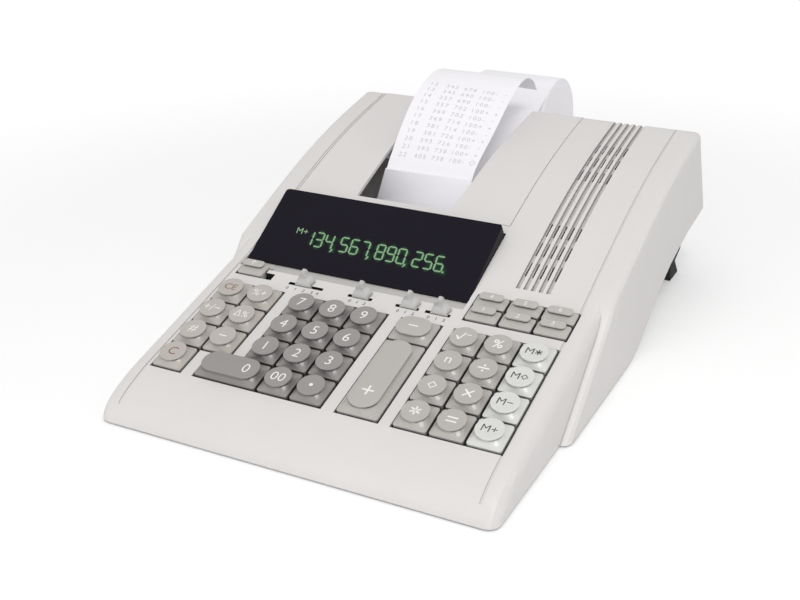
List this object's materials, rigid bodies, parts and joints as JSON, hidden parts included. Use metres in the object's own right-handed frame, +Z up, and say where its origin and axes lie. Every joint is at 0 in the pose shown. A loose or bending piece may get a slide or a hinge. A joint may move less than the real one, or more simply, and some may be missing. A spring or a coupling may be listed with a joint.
{
  "type": "printing calculator",
  "caption": "Desktop printing calculator with a sloping key deck, slide switches, a tinted display window, and a lifting printer cover with a paper strip fed from a roll behind it.",
  "frame": {"origin": "on the ground plane, under the middle of the whole machine with its paper roll", "axes": "+Z up, -Y towards the person at the keys, +X to their right"},
  "size_m": [0.2302, 0.4, 0.123],
  "materials": {
    "housing_ivory": "light warm grey moulded plastic with a fine spark texture",
    "base_ivory": "darker warm grey moulded plastic",
    "number_key_grey": "mid grey key plastic, satin",
    "right_key_grey": "light grey key plastic, satin",
    "left_key_grey": "light warm grey key plastic, satin",
    "memory_key_grey": "very light grey key plastic, satin",
    "small_key_grey": "grey key plastic, satin",
    "knob_grey": "light grey switch knob plastic",
    "window_black": "dark tinted clear acrylic, polished",
    "tube_glass": "fluorescent display tube in glass",
    "board_green": "printed circuit board with green lacquer",
    "core_steel": "laminated core with a lacquered copper coil",
    "frame_steel": "zinc plated sheet steel",
    "black_rubber": "black rubber, matt",
    "head_black": "black moulded plastic",
    "paper_white": "smooth thin roll paper",
    "clear_guard": "clear moulded plastic guard"
  },
  "bodies": {
    "housing": {"upper_shell": "housing_ivory", "base_shell": "base_ivory", "display_window": "window_black", "display_tube": "tube_glass", "key_board": "board_green", "transformer": "core_steel", "printer_frame": "frame_steel", "paper_strip": "paper_white", "tear_bar": "clear_guard", "paper_holder": "base_ivory", "rear_foot_left": "black_rubber", "rear_foot_right": "black_rubber"},
    "printer_cover": {"printer_cover": "housing_ivory"},
    "paper_roll": {"paper_roll": "paper_white"},
    "platen_roller": {"platen_roller": "black_rubber"},
    "print_head": {"print_head": "head_black"},
    "slide_switch_1": {"slide_switch_1": "knob_grey"},
    "slide_switch_2": {"slide_switch_2": "knob_grey"},
    "slide_switch_3": {"slide_switch_3": "knob_grey"},
    "slide_switch_4": {"slide_switch_4": "knob_grey"},
    "key_0": {"key_0": "number_key_grey"},
    "key_1": {"key_1": "number_key_grey"},
    "key_2": {"key_2": "number_key_grey"},
    "key_3": {"key_3": "number_key_grey"},
    "key_4": {"key_4": "number_key_grey"},
    "key_5": {"key_5": "number_key_grey"},
    "key_6": {"key_6": "number_key_grey"},
    "key_7": {"key_7": "number_key_grey"},
    "key_8": {"key_8": "number_key_grey"},
    "key_9": {"key_9": "number_key_grey"},
    "key_double_zero": {"key_double_zero": "number_key_grey"},
    "key_point": {"key_point": "number_key_grey"},
    "key_total": {"key_total": "right_key_grey"},
    "key_subtotal": {"key_subtotal": "right_key_grey"},
    "key_item_count": {"key_item_count": "right_key_grey"},
    "key_square_root": {"key_square_root": "right_key_grey"},
    "key_equals": {"key_equals": "right_key_grey"},
    "key_multiply": {"key_multiply": "right_key_grey"},
    "key_divide": {"key_divide": "right_key_grey"},
    "key_percent": {"key_percent": "right_key_grey"},
    "key_plus": {"key_plus": "right_key_grey"},
    "key_minus": {"key_minus": "right_key_grey"},
    "key_clear": {"key_clear": "left_key_grey"},
    "key_number_sign": {"key_number_sign": "left_key_grey"},
    "key_change_sign": {"key_change_sign": "left_key_grey"},
    "key_clear_entry": {"key_clear_entry": "left_key_grey"},
    "key_correction": {"key_correction": "left_key_grey"},
    "key_delta_percent": {"key_delta_percent": "left_key_grey"},
    "key_percent_add": {"key_percent_add": "left_key_grey"},
    "key_memory_plus": {"key_memory_plus": "memory_key_grey"},
    "key_memory_minus": {"key_memory_minus": "memory_key_grey"},
    "key_memory_subtotal": {"key_memory_subtotal": "memory_key_grey"},
    "key_memory_total": {"key_memory_total": "memory_key_grey"},
    "function_key_1": {"function_key_1": "small_key_grey"},
    "function_key_2": {"function_key_2": "small_key_grey"},
    "function_key_3": {"function_key_3": "small_key_grey"},
    "function_key_4": {"function_key_4": "small_key_grey"},
    "function_key_5": {"function_key_5": "small_key_grey"},
    "function_key_6": {"function_key_6": "small_key_grey"},
    "feed_key": {"feed_key": "small_key_grey"}
  },
  "joints": [
    {"name": "cover_lift", "type": "hinge", "parent": "housing", "child": "printer_cover", "pos_m": [0, 0.0998, 0.0984], "axis": [-1, 0, 0], "range_deg": [0, 75]},
    {"name": "head_travel", "type": "slide", "parent": "housing", "child": "print_head", "axis": [1, 0, 0], "range_m": [-0.0205, 0.0255]},
    {"name": "roll_turn", "type": "hinge", "parent": "housing", "child": "paper_roll", "pos_m": [-0.0285, 0.165, 0.071], "axis": [1, 0, 0], "continuous": true},
    {"name": "platen_turn", "type": "hinge", "parent": "housing", "child": "platen_roller", "pos_m": [0, 0.01, 0.0497], "axis": [1, 0, 0], "continuous": true},
    {"name": "slide_switch_1_travel", "type": "slide", "parent": "housing", "child": "slide_switch_1", "axis": [1, 0, 0], "range_m": [-0.0036, 0.0071]},
    {"name": "slide_switch_2_travel", "type": "slide", "parent": "housing", "child": "slide_switch_2", "axis": [1, 0, 0], "range_m": [-0.0021, 0.0016]},
    {"name": "slide_switch_3_travel", "type": "slide", "parent": "housing", "child": "slide_switch_3", "axis": [1, 0, 0], "range_m": [-0.0021, 0.0006]},
    {"name": "slide_switch_4_travel", "type": "slide", "parent": "housing", "child": "slide_switch_4", "axis": [1, 0, 0], "range_m": [-0.0026, 0.001]},
    {"name": "key_0_press", "type": "slide", "parent": "housing", "child": "key_0", "axis": [0, 0.2588, -0.9659], "range_m": [0, 0.003], "stiffness_N_per_m": 300, "springref_m": -0.001},
    {"name": "key_1_press", "type": "slide", "parent": "housing", "child": "key_1", "axis": [0, 0.2588, -0.9659], "range_m": [0, 0.003], "stiffness_N_per_m": 300, "springref_m": -0.001},
    {"name": "key_2_press", "type": "slide", "parent": "housing", "child": "key_2", "axis": [0, 0.2588, -0.9659], "range_m": [0, 0.003], "stiffness_N_per_m": 300, "springref_m": -0.001},
    {"name": "key_3_press", "type": "slide", "parent": "housing", "child": "key_3", "axis": [0, 0.2588, -0.9659], "range_m": [0, 0.003], "stiffness_N_per_m": 300, "springref_m": -0.001},
    {"name": "key_4_press", "type": "slide", "parent": "housing", "child": "key_4", "axis": [0, 0.2588, -0.9659], "range_m": [0, 0.003], "stiffness_N_per_m": 300, "springref_m": -0.001},
    {"name": "key_5_press", "type": "slide", "parent": "housing", "child": "key_5", "axis": [0, 0.2588, -0.9659], "range_m": [0, 0.003], "stiffness_N_per_m": 300, "springref_m": -0.001},
    {"name": "key_6_press", "type": "slide", "parent": "housing", "child": "key_6", "axis": [0, 0.2588, -0.9659], "range_m": [0, 0.003], "stiffness_N_per_m": 300, "springref_m": -0.001},
    {"name": "key_7_press", "type": "slide", "parent": "housing", "child": "key_7", "axis": [0, 0.2588, -0.9659], "range_m": [0, 0.003], "stiffness_N_per_m": 300, "springref_m": -0.001},
    {"name": "key_8_press", "type": "slide", "parent": "housing", "child": "key_8", "axis": [0, 0.2588, -0.9659], "range_m": [0, 0.003], "stiffness_N_per_m": 300, "springref_m": -0.001},
    {"name": "key_9_press", "type": "slide", "parent": "housing", "child": "key_9", "axis": [0, 0.2588, -0.9659], "range_m": [0, 0.003], "stiffness_N_per_m": 300, "springref_m": -0.001},
    {"name": "key_double_zero_press", "type": "slide", "parent": "housing", "child": "key_double_zero", "axis": [0, 0.2588, -0.9659], "range_m": [0, 0.003], "stiffness_N_per_m": 300, "springref_m": -0.001},
    {"name": "key_point_press", "type": "slide", "parent": "housing", "child": "key_point", "axis": [0, 0.2588, -0.9659], "range_m": [0, 0.003], "stiffness_N_per_m": 300, "springref_m": -0.001},
    {"name": "key_total_press", "type": "slide", "parent": "housing", "child": "key_total", "axis": [0, 0.2588, -0.9659], "range_m": [0, 0.003], "stiffness_N_per_m": 300, "springref_m": -0.001},
    {"name": "key_subtotal_press", "type": "slide", "parent": "housing", "child": "key_subtotal", "axis": [0, 0.2588, -0.9659], "range_m": [0, 0.003], "stiffness_N_per_m": 300, "springref_m": -0.001},
    {"name": "key_item_count_press", "type": "slide", "parent": "housing", "child": "key_item_count", "axis": [0, 0.2588, -0.9659], "range_m": [0, 0.003], "stiffness_N_per_m": 300, "springref_m": -0.001},
    {"name": "key_square_root_press", "type": "slide", "parent": "housing", "child": "key_square_root", "axis": [0, 0.2588, -0.9659], "range_m": [0, 0.003], "stiffness_N_per_m": 300, "springref_m": -0.001},
    {"name": "key_equals_press", "type": "slide", "parent": "housing", "child": "key_equals", "axis": [0, 0.2588, -0.9659], "range_m": [0, 0.003], "stiffness_N_per_m": 300, "springref_m": -0.001},
    {"name": "key_multiply_press", "type": "slide", "parent": "housing", "child": "key_multiply", "axis": [0, 0.2588, -0.9659], "range_m": [0, 0.003], "stiffness_N_per_m": 300, "springref_m": -0.001},
    {"name": "key_divide_press", "type": "slide", "parent": "housing", "child": "key_divide", "axis": [0, 0.2588, -0.9659], "range_m": [0, 0.003], "stiffness_N_per_m": 300, "springref_m": -0.001},
    {"name": "key_percent_press", "type": "slide", "parent": "housing", "child": "key_percent", "axis": [0, 0.2588, -0.9659], "range_m": [0, 0.003], "stiffness_N_per_m": 300, "springref_m": -0.001},
    {"name": "key_plus_press", "type": "slide", "parent": "housing", "child": "key_plus", "axis": [0, 0.2588, -0.9659], "range_m": [0, 0.003], "stiffness_N_per_m": 300, "springref_m": -0.001},
    {"name": "key_minus_press", "type": "slide", "parent": "housing", "child": "key_minus", "axis": [0, 0.2588, -0.9659], "range_m": [0, 0.003], "stiffness_N_per_m": 300, "springref_m": -0.001},
    {"name": "key_clear_press", "type": "slide", "parent": "housing", "child": "key_clear", "axis": [0, 0.2588, -0.9659], "range_m": [0, 0.003], "stiffness_N_per_m": 300, "springref_m": -0.001},
    {"name": "key_number_sign_press", "type": "slide", "parent": "housing", "child": "key_number_sign", "axis": [0, 0.2588, -0.9659], "range_m": [0, 0.003], "stiffness_N_per_m": 300, "springref_m": -0.001},
    {"name": "key_change_sign_press", "type": "slide", "parent": "housing", "child": "key_change_sign", "axis": [0, 0.2588, -0.9659], "range_m": [0, 0.003], "stiffness_N_per_m": 300, "springref_m": -0.001},
    {"name": "key_clear_entry_press", "type": "slide", "parent": "housing", "child": "key_clear_entry", "axis": [0, 0.2588, -0.9659], "range_m": [0, 0.003], "stiffness_N_per_m": 300, "springref_m": -0.001},
    {"name": "key_correction_press", "type": "slide", "parent": "housing", "child": "key_correction", "axis": [0, 0.2588, -0.9659], "range_m": [0, 0.003], "stiffness_N_per_m": 300, "springref_m": -0.001},
    {"name": "key_delta_percent_press", "type": "slide", "parent": "housing", "child": "key_delta_percent", "axis": [0, 0.2588, -0.9659], "range_m": [0, 0.003], "stiffness_N_per_m": 300, "springref_m": -0.001},
    {"name": "key_percent_add_press", "type": "slide", "parent": "housing", "child": "key_percent_add", "axis": [0, 0.2588, -0.9659], "range_m": [0, 0.003], "stiffness_N_per_m": 300, "springref_m": -0.001},
    {"name": "key_memory_plus_press", "type": "slide", "parent": "housing", "child": "key_memory_plus", "axis": [0, 0.2588, -0.9659], "range_m": [0, 0.003], "stiffness_N_per_m": 300, "springref_m": -0.001},
    {"name": "key_memory_minus_press", "type": "slide", "parent": "housing", "child": "key_memory_minus", "axis": [0, 0.2588, -0.9659], "range_m": [0, 0.003], "stiffness_N_per_m": 300, "springref_m": -0.001},
    {"name": "key_memory_subtotal_press", "type": "slide", "parent": "housing", "child": "key_memory_subtotal", "axis": [0, 0.2588, -0.9659], "range_m": [0, 0.003], "stiffness_N_per_m": 300, "springref_m": -0.001},
    {"name": "key_memory_total_press", "type": "slide", "parent": "housing", "child": "key_memory_total", "axis": [0, 0.2588, -0.9659], "range_m": [0, 0.003], "stiffness_N_per_m": 300, "springref_m": -0.001},
    {"name": "function_key_1_press", "type": "slide", "parent": "housing", "child": "function_key_1", "axis": [0, 0.2588, -0.9659], "range_m": [0, 0.003], "stiffness_N_per_m": 300, "springref_m": -0.001},
    {"name": "function_key_2_press", "type": "slide", "parent": "housing", "child": "function_key_2", "axis": [0, 0.2588, -0.9659], "range_m": [0, 0.003], "stiffness_N_per_m": 300, "springref_m": -0.001},
    {"name": "function_key_3_press", "type": "slide", "parent": "housing", "child": "function_key_3", "axis": [0, 0.2588, -0.9659], "range_m": [0, 0.003], "stiffness_N_per_m": 300, "springref_m": -0.001},
    {"name": "function_key_4_press", "type": "slide", "parent": "housing", "child": "function_key_4", "axis": [0, 0.2588, -0.9659], "range_m": [0, 0.003], "stiffness_N_per_m": 300, "springref_m": -0.001},
    {"name": "function_key_5_press", "type": "slide", "parent": "housing", "child": "function_key_5", "axis": [0, 0.2588, -0.9659], "range_m": [0, 0.003], "stiffness_N_per_m": 300, "springref_m": -0.001},
    {"name": "function_key_6_press", "type": "slide", "parent": "housing", "child": "function_key_6", "axis": [0, 0.2588, -0.9659], "range_m": [0, 0.003], "stiffness_N_per_m": 300, "springref_m": -0.001},
    {"name": "feed_key_press", "type": "slide", "parent": "housing", "child": "feed_key", "axis": [0, 0.2588, -0.9659], "range_m": [0, 0.003], "stiffness_N_per_m": 300, "springref_m": -0.001}
  ],
  "couplings": [
    {"joint": "platen_turn", "follows": "roll_turn", "ratio": -3.9282}
  ]
}
